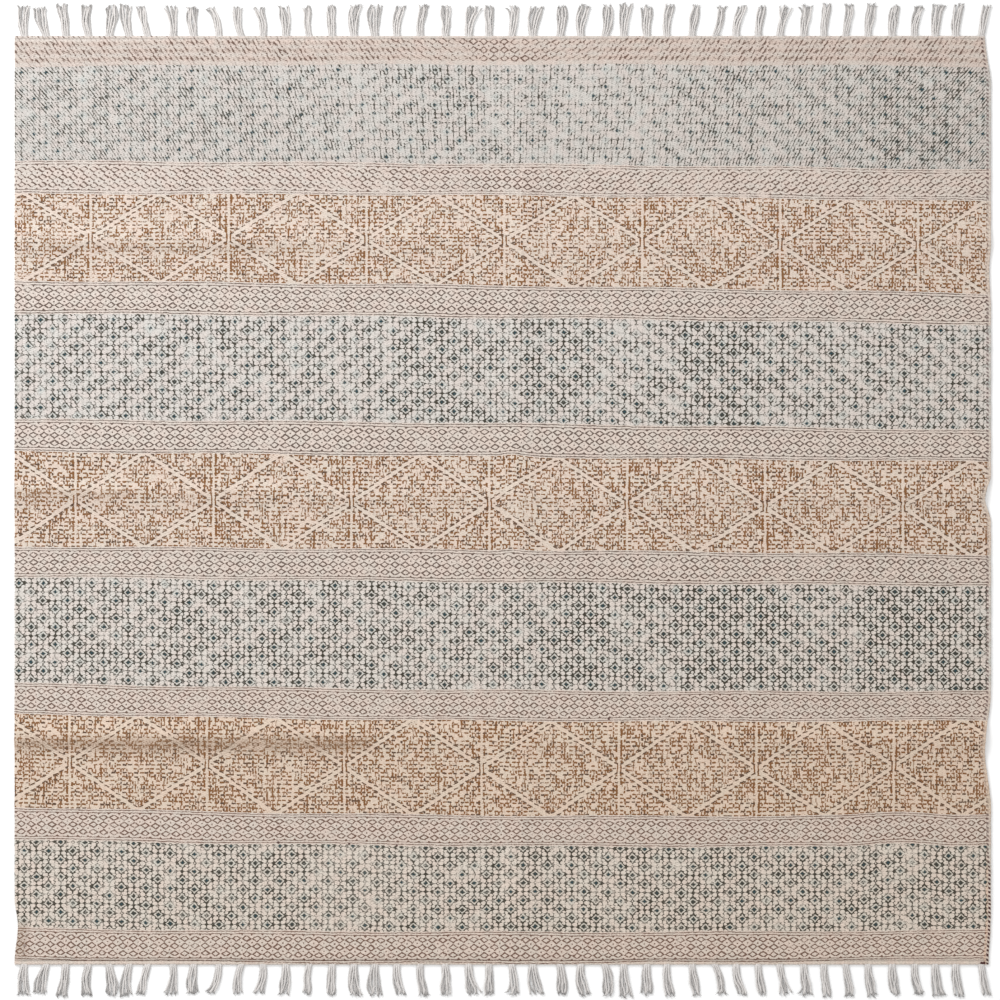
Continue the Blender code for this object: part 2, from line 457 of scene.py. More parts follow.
def joined_parts(name, parts, materials):
    """One closed smooth mesh object, its faces pointing outwards."""
    faces, first = [], 0
    for part in parts:
        faces += [tuple(first + v for v in face) for face in part.faces]
        first += len(part.places)
    places, slots, bands, lays, bakes, tones, margins = (
        np.concatenate(pieces) for pieces in list(zip(*parts))[1:]
    )
    mesh = bpy.data.meshes.new(name)
    mesh.from_pydata(places.tolist(), [], faces)
    for map_name, pairs in (("lay", lays), ("OFBake", bakes)):
        mesh.uv_layers.new(name=map_name).data.foreach_set("uv", pairs.ravel())
    mesh.uv_layers.active = mesh.uv_layers["lay"]
    mesh.uv_layers["lay"].active_render = True
    for material in materials:
        mesh.materials.append(bpy.data.materials[material])
    mesh.polygons.foreach_set("material_index", slots)
    write_inking_and_shade(mesh, places, tones, margins, bands)
    bm = bmesh.new()
    bm.from_mesh(mesh)
    bmesh.ops.recalc_face_normals(bm, faces=bm.faces)
    bm.to_mesh(mesh)
    bm.free()
    mesh.shade_smooth()
    piece = bpy.data.objects.new(name, mesh)
    bpy.context.scene.collection.objects.link(piece)
    return piece


def patch_strength(patches, x, down, softness):
    """How strongly the patches act at each point, fading over softness at their rims."""
    total = np.zeros_like(x)
    for patch in patches:
        depth = np.minimum.reduce([
            x - MM * patch.left, MM * patch.right - x, down - MM * patch.upper, MM * patch.lower - down
        ])
        total += patch.strength * np.clip(depth / softness + 0.5, 0.0, 1.0)
    return total


def write_inking_and_shade(mesh, places, tones, margins, bands):
    """Stores how strongly the cloth is inked, how grey and dark it is (its own tint together with painted
    light falloff), where it carries painted shade along the creases, and each band's own inking.
    """
    x = places[:, 0] + RUG_WIDTH / 2
    down = RUG_LENGTH / 2 - places[:, 1]
    across, along = x / RUG_WIDTH, down / RUG_LENGTH
    inking = INKING_LEAST + INKING_ACROSS * across + INKING_DOWN * np.minimum(along / INKING_SETTLED, 1.0)
    layers = [
        ("inking", "POINT", inking + patch_strength(INK_PATCHES, x, down, INK_RIM)),
        ("shade", "POINT", np.clip(SHADE_ACROSS * across + SHADE_DOWN * along, 0.0, 1.0)),
        ("soil", "POINT", patch_strength(CREASE_SHADE_PATCHES, x, down, CREASE_SHADE_RIM)),
        ("tone", "POINT", tones),
        ("margin", "POINT", margins),
    ]
    for name in ("strength", "brown", "smear"):
        layers.append((name, "FACE", [getattr(BANDS[band], name) for band in bands]))
    for name, domain, values in layers:
        layer = mesh.attributes.new(name=name, type="FLOAT", domain=domain)
        layer.data.foreach_set("value", np.array(values, dtype=np.float32))


# ---------------------------------------------------------------- sheets and yarns


def marks(count):
    """The lines that the underside's faces run between."""
    return sorted({*range(0, count - 1, UNDER_STEP), count - 1})


def perimeter(r0, r1, c0, c1):
    """Rows and columns once around a rectangle of the grid."""
    ring = [(r0, c) for c in range(c0, c1)] + [(r, c1) for r in range(r0, r1)]
    return ring + [(r1, c) for c in range(c1, c0, -1)] + [(r, c0) for r in range(r1, r0, -1)]


def sheet_faces(rows, cols):
    """Faces of a closed sheet's top, underside and rim, and the line across that each begins at. The
    underside's vertices are numbered on from the top's, and its wide faces keep all of those at the rim."""
    count = rows * cols
    tops = [
        (row * cols + col, (row + 1) * cols + col, (row + 1) * cols + col + 1, row * cols + col + 1)
        for row in range(rows - 1) for col in range(cols - 1)
    ]
    lines = [row for row in range(rows - 1) for _ in range(cols - 1)]
    unders, rims = [], []
    ring = perimeter(0, rows - 1, 0, cols - 1)
    for r0, r1 in zip(marks(rows), marks(rows)[1:]):
        for c0, c1 in zip(marks(cols), marks(cols)[1:]):
            face = [
                count + r * cols + c for r, c in perimeter(r0, r1, c0, c1)
                if (r in (r0, r1) and c in (c0, c1)) or r in (0, rows - 1) or c in (0, cols - 1)
            ]
            unders.append(tuple(face))
            lines.append(r0)
    for (r0, c0), (r1, c1) in zip(ring, ring[1:] + ring[:1]):
        a, b = r0 * cols + c0, r1 * cols + c1
        rims.append((a, b, count + b, count + a))
        lines.append(min(r0, r1))
    return tops, unders, rims, lines


def sheet_bakes(x, y, tops, unders, rims, height):
    """The bake map of a sheet, from how many corners are its top's, its underside's and its rim's."""
    across = BAKE_SIDE + (0.5 + x / RUG_WIDTH) * (1 - 2 * BAKE_SIDE)
    along = (y - y.min()) / (y.max() - y.min())
    up = np.concatenate([
        TOP_FROM + TOP_HEIGHT * along[:tops],
        UNDER_FROM + UNDER_HEIGHT * along[tops:tops + unders],
        np.tile(RIM_CORNERS, rims // 4),
    ])
    step = np.repeat(np.arange(rims // 4), 4) + np.tile([0, 1, 1, 0], rims // 4)
    across[tops + unders:] = step / (rims // 4)
    return np.stack([across, height * up], axis=1)


def sheet_part(columns, downs, owners, bake_height, rounded_end=None):
    """A closed sheet between two selvedges. downs holds a row of distances for each line across, owners the
    band below each line, and the sheet takes the share bake_height of the bake map."""
    y = RUG_LENGTH / 2 - downs
    flat_x = np.broadcast_to(columns, y.shape)
    x = between_selvedges(flat_x, y)
    low = lift(x, y)
    back = rounded_off(RUG_WIDTH / 2 - np.abs(flat_x))
    if rounded_end is not None:
        back = np.maximum(back, rounded_off(np.abs(rounded_end - y)))
    levels = (low + THICKNESS - back, low + ROUNDING_BELOW * back)
    places = np.concatenate([np.stack([x, y, z], axis=2) for z in levels]).reshape(-1, 3)

    tops, unders, rims, lines = sheet_faces(*y.shape)
    faces = tops + unders + rims
    bands = [owners[min(line, len(owners) - 1)] for line in lines]
    totals = np.array([len(face) for face in faces])
    corners = np.concatenate([np.array(face) for face in faces])
    corner_x, corner_y, _ = places[corners].T
    owner = np.repeat(bands, totals)
    lays = np.empty((len(corners), 2))
    for number in set(owners):
        mine = owner == number
        lays[mine, 0], lays[mine, 1] = print_place(number, corner_x[mine], corner_y[mine])
    shares = np.split(totals, [len(tops), len(tops) + len(unders)])
    bakes = sheet_bakes(corner_x, corner_y, *(int(share.sum()) for share in shares), bake_height)

    used = np.unique(corners)
    numbers = {old: new for new, old in enumerate(used.tolist())}
    faces = [tuple(numbers[v] for v in face) for face in faces]
    slots = [BLOCKS.index(BANDS[band].block) for band in bands]
    slots[len(tops):len(tops) + len(unders)] = [len(BLOCKS)] * len(unders)
    margins = (RUG_WIDTH / 2 - np.tile(flat_x.ravel(), 2)) / MM
    return Part(faces, places[used], slots, bands, lays, bakes, np.zeros(len(used)), margins[used])


Strands = namedtuple("Strands", "paths radii tones sides plies")  # paths are (strand, station, xyz)


def swept(strands):
    """Vertices of round or plied strands (strand, station, side, xyz), and how far along each station is."""
    ahead = np.gradient(strands.paths, axis=1)
    ahead /= np.linalg.norm(ahead, axis=2, keepdims=True)
    level = np.cross(ahead, (0.0, 0.0, 1.0))
    level /= np.linalg.norm(level, axis=2, keepdims=True)
    upright = np.cross(level, ahead)
    steps = np.linalg.norm(np.diff(strands.paths, axis=1), axis=2)
    lengths = np.pad(np.cumsum(steps, axis=1), ((0, 0), (1, 0)))
    turn = 2 * np.pi * np.arange(strands.sides) / strands.sides
    rim = strands.radii[:, :, None]
    if strands.plies:
        twist = 2 * np.pi * lengths / TWIST_LENGTH + TWIST_STAGGER * np.arange(len(lengths))[:, None]
        rim = rim * (1.0 + PLY_DEPTH * np.cos(strands.plies * (turn - twist[:, :, None])))
    rim = rim[..., None] * (
        np.cos(turn)[:, None] * level[:, :, None, :] + np.sin(turn)[:, None] * upright[:, :, None, :]
    )
    return strands.paths[:, :, None, :] + rim, lengths


def strands_part(strands, strips):
    """Strands closed at both ends. strips holds the corner and the size of each in the bake map."""
    places, lengths = swept(strands)
    shape = places.shape[:3]
    ids = np.arange(math.prod(shape)).reshape(shape)
    beside = np.roll(ids, -1, axis=2)
    walls = np.stack([ids[:, :-1], beside[:, :-1], beside[:, 1:], ids[:, 1:]], axis=-1)
    faces = walls.reshape(-1, 4).tolist() + ids[:, 0, ::-1].tolist() + ids[:, -1].tolist()

    grid = np.stack(np.broadcast_arrays(lengths[:, :, None], np.arange(strands.sides + 1.0)), axis=-1)
    sides = np.stack([grid[:, :-1, :-1], grid[:, :-1, 1:], grid[:, 1:, 1:], grid[:, 1:, :-1]], axis=-2)
    lays, bakes = [], []
    for pairs in (sides.reshape(len(grid), -1, 2), grid[:, 0, -2::-1], grid[:, -1, :-1]):
        share = STRIP_MARGIN + (1 - 2 * STRIP_MARGIN) * pairs / (lengths.max(), strands.sides)
        lays.append((pairs / (MM, strands.sides)).reshape(-1, 2))
        bakes.append((strips[:, None, :2] + strips[:, None, 2:] * share).reshape(-1, 2))
    tones = np.broadcast_to(strands.tones[:, :, None], shape).ravel()
    return Part(
        faces, places.reshape(-1, 3), [len(BLOCKS)] * len(faces), [0] * len(faces),
        np.concatenate(lays), np.concatenate(bakes), tones, np.full(tones.shape, FAR_IN),
    )


# ---------------------------------------------------------------- materials: a few words for node trees


def feed(socket, value):
    """Sets a node's input, or links it to what works the value out."""
    if isinstance(value, Wire):
        socket.id_data.links.new(value.socket, socket)
    elif isinstance(value, (int, float)):
        socket.default_value = value
    else:
        socket.default_value = (*value, 1.0) if socket.type == "RGBA" else tuple(value)


def maths_of(operation):
    """A method that adds a Math node."""
    return lambda wire, *others: wire.maths(operation, *others)


class Wire:
    """A number, vector or colour that a material's nodes work out. Python's operators add Math nodes."""

    __add__, __sub__, __mul__ = maths_of("ADD"), maths_of("SUBTRACT"), maths_of("MULTIPLY")
    __truediv__, __pow__ = maths_of("DIVIDE"), maths_of("POWER")
    size, floor, fraction = maths_of("ABSOLUTE"), maths_of("FLOOR"), maths_of("FRACT")
    under, over, least = maths_of("LESS_THAN"), maths_of("GREATER_THAN"), maths_of("MINIMUM")
    folded = maths_of("PINGPONG")  # distance from the nearest whole repeat, at most half of its pitch

    def __init__(self, socket):
        self.socket = socket

    def node(self, kind):
        return self.socket.id_data.nodes.new(kind)

    def maths(self, operation, *others):
        node = self.node("ShaderNodeMath")
        node.operation = operation
        for socket, value in zip(node.inputs, (self, *others)):
            feed(socket, value)
        return Wire(node.outputs[0])

    def taken_from(self, total):
        return (self * -1.0) + total

    def most(self, *others):
        found = self
        for other in others:
            found = found.maths("MAXIMUM", other)
        return found

    def wave(self, pitch):
        """From -1 to 1 and back once in each pitch."""
        return (self * (2 * math.pi / pitch)).maths("COSINE")

    def swing(self, pitch):
        return (self * (2 * math.pi / pitch)).maths("SINE")

    def ramp(self, start, end, low=0.0, high=1.0):
        """Goes smoothly from low to high while the number goes from start to end."""
        node = self.node("ShaderNodeMapRange")
        node.interpolation_type = "SMOOTHSTEP"
        for socket, value in zip(node.inputs, (self, start, end, low, high)):
            feed(socket, value)
        return Wire(node.outputs["Result"])

    def stretched(self, by):
        node = self.node("ShaderNodeMapping")
        node.inputs["Scale"].default_value = by
        feed(node.inputs["Vector"], self)
        return Wire(node.outputs[0])

    def parts(self):
        node = self.node("ShaderNodeSeparateXYZ")
        feed(node.inputs[0], self)
        return [Wire(socket) for socket in node.outputs]

    def noise(self, scale, detail=1.0):
        """Noise from 0 to 1, and its colour; scale is in blobs to the unit."""
        node = self.node("ShaderNodeTexNoise")
        node.inputs["Scale"].default_value = scale
        node.inputs["Detail"].default_value = detail
        feed(node.inputs["Vector"], self)
        return Wire(node.outputs["Fac"]), Wire(node.outputs["Color"])

    def mix(self, mode, share, first, second):
        node = self.node("ShaderNodeMix")
        node.data_type = "RGBA"
        node.blend_type = mode
        for number, value in ((0, share), (6, first), (7, second)):
            feed(node.inputs[number], value)
        return Wire(node.outputs[2])

    def blend(self, first, second):
        """From the first colour at 0 to the second at 1."""
        return self.mix("MIX", self, first, second)

    def tinted(self, tint):
        """This colour multiplied by a tint."""
        return self.mix("MULTIPLY", 1.0, self, tint)


def joined(x, y, z=0.0):
    node = x.node("ShaderNodeCombineXYZ")
    for socket, value in zip(node.inputs, (x, y, z)):
        feed(socket, value)
    return Wire(node.outputs[0])


def hashed(x, y, z=0.0):
    """Three random numbers for each whole place."""
    node = x.node("ShaderNodeTexWhiteNoise")
    feed(node.inputs["Vector"], joined(x, y, z))
    return Wire(node.outputs["Color"]).parts()


def attribute(tree, name):
    node = tree.nodes.new("ShaderNodeAttribute")
    node.attribute_name = name
    return Wire(node.outputs["Fac"])


def object_place(tree):
    return Wire(tree.nodes.new("ShaderNodeTexCoord").outputs["Object"])


def lay_place(tree):
    node = tree.nodes.new("ShaderNodeUVMap")
    node.uv_map = "lay"
    return Wire(node.outputs[0]).parts()


EDGE_SOFTNESS = 0.6  # half the width over which ink fades out, in millimetres


def inside(distance, limit, softness=EDGE_SOFTNESS):
    """1 where the distance is under the limit."""
    return distance.ramp(limit + softness, limit - softness)


def near(distance, middle, half_width, softness=EDGE_SOFTNESS):
    """1 within half_width of the middle."""
    return inside((distance - middle).size(), half_width, softness)


# ---------------------------------------------------------------- printing blocks, in millimetres
# Each takes a place on the block, how far it is smeared and which way. It returns how much ink it leaves, how
# much of that is the block's second ink, and where thin ink tints the ground, or None.

WIPED = 0.12  # how much ink stays where the block slipped


def dragged(u, v, wide, tall, slant):
    """How much is left of a lozenge's sides where the block slipped. Slant is below 0 where it slipped down
    to the right: the sides that fall that way stay, and those that rise are wiped out."""
    return (u.swing(wide) * v.swing(tall) * slant).ramp(-0.45, 0.0, WIPED, 1.0)


def lattice_ink(u, v, smear, slant):
    """Three rows of lozenges with dots between them, and double lines along both edges."""
    pitch, row = BLOCK_PITCH["lattice"], 14.7
    half_wide, half_tall, half_side = 7.6, 5.5, 1.18  # of a lozenge, and of the line that draws it
    loop_at, half_loop, loop_lean = 4.6, 1.5, 0.7  # of the loops that a smeared lozenge leaves
    half_link, dot, half_line = 0.6, 1.5, 0.80
    rows_end, dots_end, haze_end = 19.8, 14.7, 23.0  # from the band's middle
    triangles_from, triangle_tip, triangles_to = 20.0, 20.2, 24.4
    inner_line, outer_line = 24.0, 28.7
    across, to_row, off_middle = u.folded(pitch / 2), v.folded(row / 2), v.size()
    to_gap, bent = across.taken_from(pitch / 2), slant.size()
    rows = off_middle.under(rows_end)

    own = hashed((u / pitch + 0.5).floor(), (v / row + 0.5).floor())
    steepness = 1.0 / math.hypot(1 / half_wide, 1 / half_tall)
    outline = (across / half_wide + to_row / half_tall - 1.0) * steepness
    lozenges = inside(outline.size(), half_side) * rows * own[0].ramp(0.0, 0.7, 0.80, 1.0)
    lozenges = lozenges * dragged(u, v, pitch, row, slant) * bent.ramp(0.35, 0.9, 1.0, 0.75)
    off_row = ((v / row + 0.5).fraction() - 0.5) * row
    loops = near((u + slant * off_row * loop_lean).folded(pitch / 2), loop_at, half_loop)
    loops = loops * off_row.size().ramp(1.8, 5.2, 1.0, 0.30) * bent.ramp(0.35, 0.9)

    links = inside(to_row, half_link) * across.over(half_wide) * rows
    to_dot = (to_gap**2.0 + to_row.taken_from(row / 2) ** 2.0) ** 0.5
    dots = inside(to_dot, dot) * off_middle.under(dots_end)
    triangles = inside(to_gap - (off_middle - triangle_tip) * 0.9, 0.2)
    triangles = triangles * off_middle.under(triangles_to) * off_middle.over(triangles_from)
    lines = near(off_middle, inner_line, half_line).most(near(off_middle, outer_line, half_line))
    edging = (links * 0.7).most(triangles, lines * 0.9) * smear.ramp(0.15, 0.95, 1.0, 0.0)
    haze = inside(off_row.size(), 4.2, 2.4) * off_middle.under(haze_end) * smear
    return lozenges.most(loops * 0.75, dots * 0.85, edging), attribute(u.socket.id_data, "brown"), haze


Cell = namedtuple("Cell", "x y half_wide half_tall")
CELL, POCKET = Cell(5.75, 4.15, 4.65, 3.65), Cell(8.3, 6.1, 3.0, 2.5)
ROUNDNESS, CELL_SOFTNESS = 1.9, 0.30


def pebble(x, y, cell):
    """A rounded cell."""
    across, down = (x - cell.x).size() / cell.half_wide, (y - cell.y).size() / cell.half_tall
    return inside(across**ROUNDNESS + down**ROUNDNESS, 1.0, CELL_SOFTNESS)


def net_ink(u, v, smear, slant):
    """Diamonds in offset rows, and pale cells in fours between them, parted by thin lines."""
    wide, tall = BLOCK_PITCH["net"] / 2, 16.2  # half of the repeat
    half_wide, half_tall = 9.8, 8.6  # of a diamond's outline
    core_end, core_fades, ring_at = (0.42, 0.22), (0.05, 0.80, 0.25, 1.0), 0.72  # shares of its size
    knot, half_upright = 1.7, 0.9
    x, y = u.folded(wide), v.folded(tall)
    far_x, far_y = x.taken_from(wide), y.taken_from(tall)
    size = (x / half_wide + y / half_tall).least(far_x / half_wide + far_y / half_tall)
    chance = hashed((u / wide + 0.5).floor(), (v / tall + 0.5).floor())
    core = size.ramp(*core_end) * chance[0].ramp(*core_fades)
    pale = pebble(x, far_y, CELL).most(
        pebble(far_x, y, CELL), pebble(x, y, POCKET), pebble(far_x, far_y, POCKET),
        inside(x + far_y, knot) * 0.8, near(size, ring_at, 0.17, 0.10) * 0.85,
    )
    lines = pale.taken_from(1.0) * dragged(u, v, 2 * wide, 2 * tall, slant)
    lines = lines.most(near(x, wide / 2, half_upright) * (smear * 0.35 + 0.5))
    return lines * 0.64 + core * 0.38, core, size.ramp(1.25, 0.75)


# The fret's strokes, in its own steps: half their width, and how softly they end
Stroke = namedtuple("Stroke", "half_width softness")
TREAD_TALL, TREAD_WIDE = Stroke(0.20, 0.11), Stroke(0.35, 0.07)
RISER_TALL, RISER_WIDE = Stroke(0.38, 0.10), Stroke(0.145, 0.08)
EDGE_TALL, EDGE_WIDE = Stroke(0.17, 0.10), Stroke(0.38, 0.08)
STUB, GATE, BAR, AXIS = Stroke(0.15, 0.09), Stroke(0.12, 0.07), Stroke(0.16, 0.08), Stroke(0.16, 0.07)
# How many of them are left out, and how many fewer in every other row
TREAD_GAPS, FEWER_TREAD_GAPS, RISER_GAPS, FEWER_RISER_GAPS = 0.27, -0.25, 0.52, -0.20
STUB_GAPS, BAR_GAPS, EDGE_GAPS, NOT_DARK = 0.70, 0.62, 0.08, 0.72
FRET_STEPS, FRET_HALF_TALL = 12, 89.0
FRET_CLEAR, BAR_CLEAR, GATE_TALL = 0.85, 1.3, 1.3  # from the rhombi's edges, and from the middle line
EDGE_AT, EDGE_SLOPE = 0.70, 0.65


def every_other(row):
    return (row / 2.0).fraction().under(0.25)


def faded(chance):
    """How much ink a stroke of the fret holds."""
    return chance * 0.45 + 0.70


def fret_risers(a, b, side):
    """The fret's upright strokes, the row of each, and how many are dark."""
    nearest = (a + 0.5).floor()
    height = b - nearest + 0.5
    row = height.floor()
    chance = hashed(nearest, row, side + 0.5)
    riser = near(a, nearest, *RISER_WIDE) * near(height.fraction() - chance[2] * 0.6, 0.2, *RISER_TALL)
    shown = chance[0].over(every_other(row) * FEWER_RISER_GAPS + RISER_GAPS)
    return riser * shown * faded(chance[1]), row, chance[2].over(NOT_DARK)


def fret_ink(u, v, smear, slant):
    """A row of rhombi edged by plain stripes and filled with a stepped fret, which no smear changes."""
    half_pitch = BLOCK_PITCH["fret"] / 2
    a = u.folded(half_pitch) / (half_pitch / FRET_STEPS)
    b = v.size() / (FRET_HALF_TALL / FRET_STEPS)
    off, column = b - a, a.floor()
    outer, clear = off.over(0.0), off.size()
    step, level = a - column, b - column
    row = level.floor()
    side = v.over(0.0) * 7.0 + (u / half_pitch).floor() * 13.0
    chance = hashed(column, row, side)
    treads = near(level - row, 0.5, *TREAD_TALL) * near(step - chance[1] * 0.36, 0.32, *TREAD_WIDE)
    treads = treads * chance[0].over(every_other(row) * FEWER_TREAD_GAPS + TREAD_GAPS) * faded(chance[1])
    risers, riser_row, riser_dark = fret_risers(a, b, side)
    stubs = near(step, 0.5, *STUB) * hashed(column, riser_row, side + 0.7)[0].over(STUB_GAPS)
    fill = treads.most(risers, stubs * 0.9) * clear.over(FRET_CLEAR)
    bars = near(a, 0.42, *BAR) * outer * chance[1].over(BAR_GAPS) * clear.over(BAR_CLEAR)
    axis = inside(a, *AXIS).taken_from(1.0).most(off.under(0.0))
    filled = fill.most(bars) * axis * (outer * 0.10 + 0.90)
    to_stair = (level - 0.5 - (step - 0.5) * EDGE_SLOPE).size()
    edges = near(to_stair, EDGE_AT, *EDGE_TALL) * near(step, 0.5, *EDGE_WIDE) * chance[2].over(EDGE_GAPS)
    gate = near(a, 0.32, *GATE) * b.under(GATE_TALL)
    dark = (treads * chance[2].over(NOT_DARK)).most(risers * riser_dark, edges)
    return filled.most(edges * a.over(0.3), gate), dark * 0.85, None


# ---------------------------------------------------------------- finishes

BLUE_HAZE = (0.89, 0.96, 0.97)  # thin ink about the net's diamonds
PINK_HAZE = (0.96, 0.90, 0.87)  # and along the rows of a smeared lattice
SELVEDGE_PINK = (1.02, 0.88, 0.79)  # of the bare strip beside the right selvedge's stitches
PINKISH, GREENISH = (1.015, 0.985, 0.975), (0.985, 1.008, 1.005)  # between which the cotton's tint varies
GREYED_AND_SHADED = (0.86, 0.81, 0.755)  # where the cloth is greyest and darkest: its own tint together with painted light falloff
PALE_COTTON, DARK_COTTON, PALE_YARN, DARK_YARN = 1.10, 0.72, 1.08, 0.42  # shares of the cotton's own colour, whose ranges also hold painted light and shade on the weave and painted shade on a tassel's lower yarns

# How each block prints: its two inks, the tints of its ground where the band is cool and where it is brown,
# the tint of its thin ink, how much smears mark it, and how clearly the selvedge's dark turns show through
Printing = namedtuple("Printing", "ink_of first_ink second_ink cool warm haze hatched stitched")
LATTICE_GROUND = (0.99, 0.97, 0.965)
NET_COOL, NET_WARM = (1.01, 1.045, 1.085), (1.02, 1.025, 1.02)
FRET_COOL, FRET_WARM = (1.03, 0.98, 0.94), (1.02, 0.94, 0.86)
PRINTINGS = {
    "lattice": Printing(
        lattice_ink, "grey_ink", "brown_ink", LATTICE_GROUND, LATTICE_GROUND, PINK_HAZE, 0.30, 1.0
    ),
    "net": Printing(net_ink, "net_ink", "core_ink", NET_COOL, NET_WARM, BLUE_HAZE, 0.62, 1.0),
    "fret": Printing(fret_ink, "fret_ink", "fret_dark_ink", FRET_COOL, FRET_WARM, PINK_HAZE, 0.40, 0.5),
}
PRINTED = ["printed_" + block for block in BLOCKS]

# How an unsteady hand shifts the block's lines across and down, in millimetres: slowly and quickly
SLOW_SCALE, QUICK_SCALE = 55.0, 250.0
SHIFTS = ((3.4, 2.6), (3.0, 2.4))
HATCH_PITCH, HATCH_LEAN, HATCH_BREAKS, HATCH_LEAST = 6.6, 0.9, 0.16, -0.12
SMEARED_INK, SMEARED_GROUND = -0.40, 0.21  # what a smear takes from the lines and leaves between them
GRAIN, BLOTCH, FLECK, INKING = 1.2, 0.9, 0.9, -0.5  # what makes the print dry


def new_material(name):
    material = bpy.data.materials.new(name)
    material.use_nodes = True
    surface = material.node_tree.nodes["Principled BSDF"]
    surface.inputs["Roughness"].default_value = 0.92
    surface.inputs["Specular IOR Level"].default_value = 0.2
    return material.node_tree, surface


def relief(surface, height, depth):
    bump = height.node("ShaderNodeBump")
    bump.inputs["Strength"].default_value = 0.6
    bump.inputs["Distance"].default_value = depth
    feed(bump.inputs["Height"], height)
    feed(surface.inputs["Normal"], Wire(bump.outputs["Normal"]))


def weave_beads(place):
    """Floats of the weft, 1 on their backs and 0 between them, and their warp ribs."""
    x, y, _ = place.parts()
    sway, _ = place.noise(60.0)
    warp = x.wave(2 * sizes().warp_pitch)
    pick = (y + sway * 0.0012).wave(2 * sizes().pick_pitch)
    return warp * pick * 0.5 + 0.5, warp * 0.5 + 0.5


def woven(surface, beads, ribs, grain):
    relief(surface, beads * 0.55 + ribs * 0.2 + grain * 0.5, 0.0011)


def shades(base, pale, dark):
    """A dark and a pale shade of a colour."""
    return tuple(c * dark for c in base), tuple(min(1.0, c * pale) for c in base)


def ground_colour(grain, beads, ribs):
    """Natural cotton of uneven grain, paler on the floats' backs and ribs by painted light, and darker
    between them by painted shade.
    """
    share = grain.ramp(0.30, 0.66) * 0.6 + beads * 0.28 + ribs * 0.12
    return share.blend(*shades(colours().ground, PALE_COTTON, DARK_COTTON))


def shaken(place, lay):
    """The place on the block, shifted as an unsteady hand shifts its lines."""
    _, slow = place.noise(SLOW_SCALE)
    _, quick = place.noise(QUICK_SCALE)
    return [
        at + (slow_part - 0.5) * far + (quick_part - 0.5) * close
        for at, slow_part, quick_part, (far, close) in zip(lay, slow.parts(), quick.parts(), SHIFTS)
    ]


def hatching(u, v, lean):
    """Broken strokes left by a smear: they fall to the right where lean is below 0, stand upright at 0 and
    rise where it is above."""
    strokes = (u + v * lean * HATCH_LEAN).wave(HATCH_PITCH).ramp(-0.1, 0.9)
    breaks, _ = joined(u * HATCH_BREAKS, v * HATCH_BREAKS).noise(1.0)
    return strokes * breaks.ramp(0.34, 0.60, 0.45, 1.0) * lean.size().ramp(0.1, 0.6, 0.55, 1.0) + HATCH_LEAST


def printed_cotton(block):
    """Cotton printed with one block, greyer and darker to the lower right (its own tint together with painted
    light falloff), with painted shade along the creases, and marked.
    """
    printing = PRINTINGS[block]
    tree, surface = new_material("printed_" + block)
    place = object_place(tree)
    x, y, _ = place.stretched((1 / MM, 1 / MM, 1 / MM)).parts()
    lean = x / (RUG_WIDTH / 2 / MM)
    u, v = shaken(place, lay_place(tree))
    smear, brown, margin = (attribute(tree, name) for name in ("smear", "brown", "margin"))
    inking = attribute(tree, "inking") * attribute(tree, "strength")
    ink, second, haze = printing.ink_of(u, v, smear, lean.ramp(-0.35, 0.35, -1.0, 1.0) * smear)
    ink = ink * (smear * SMEARED_INK + 1.0) + hatching(u, v, lean) * smear * printing.hatched

    grain, _ = place.stretched((0.8, 1.2, 1.0)).noise(430.0, 1.5)
    blotch, _ = place.noise(30.0, 2.0)
    fleck, _ = place.noise(105.0)
    beads, ribs = weave_beads(place)
    dryness = (grain - 0.5) * GRAIN + (blotch - 0.5) * BLOTCH + (fleck - 0.5) * FLECK
    dryness = dryness + (inking - 1.0) * INKING
    held = (ink - dryness * ink.ramp(0.1, 0.6, 0.35, 1.0)).ramp(0.08, 0.80) * inking
    held = held * margin.ramp(SELVEDGE_BARE, 2 * SELVEDGE_BARE, 0.25, 1.0)
    held = (held * (beads * 0.16 + 0.92) + smear * SMEARED_GROUND).least(1.0)

    ground = ground_colour(grain, beads, ribs).tinted(brown.blend(printing.cool, printing.warm))
    if haze is not None:
        ground = (haze * inking.ramp(0.75, 1.25, 0.45, 1.0)).blend(ground, ground.tinted(printing.haze))
    inks = second.blend(getattr(colours(), printing.first_ink), getattr(colours(), printing.second_ink))
    tint, _ = place.noise(42.0)
    printed = held.blend(ground, inks).tinted(tint.ramp(0.3, 0.7).blend(PINKISH, GREENISH))
    # Greyer and darker to the lower right: the cloth's own tint together with painted light falloff
    shaded = attribute(tree, "shade").blend(printed, printed.tinted(GREYED_AND_SHADED))
    # Painted shade below the creases' crests, in a brown tint, broken up by the grain
    crease_shading = (attribute(tree, "soil") * grain.ramp(0.25, 0.6, 1.4, 0.5)).least(1.0)
    crease_shaded = crease_shading.blend(shaded, colours().soil)
    lower = y.ramp(RUG_LENGTH / 2 / MM - LOWER_FROM, RUG_LENGTH / 2 / MM - LOWER_TO)
    strip = near(margin, STRIP_AT, STRIP_HALF_WIDTH, 0.8) * lower * 0.8
    crease_shaded = strip.blend(crease_shaded, crease_shaded.tinted(SELVEDGE_PINK))
    marked = seam_turns(y, margin, lower, blotch) * printing.stitched
    marked = marked.most(*small_marks(x, y, blotch))
    feed(surface.inputs["Base Color"], marked.blend(crease_shaded, colours().stitch))
    woven(surface, beads, ribs, grain)


def seam_turns(y, margin, lower, blotch):
    """Where dark turns of the weft show along the right selvedge."""
    turns = (y - margin * 0.5 + (blotch - 0.5) * 9.0).wave(STITCH_PITCH).ramp(-0.45, 0.25)
    seam = near(margin, lower.ramp(0.0, 1.0, SEAM_UPPER, SEAM_LOWER), SEAM_HALF_WIDTH)
    return seam * turns * blotch.ramp(0.16, 0.36) * (lower * 0.3 + 0.7)


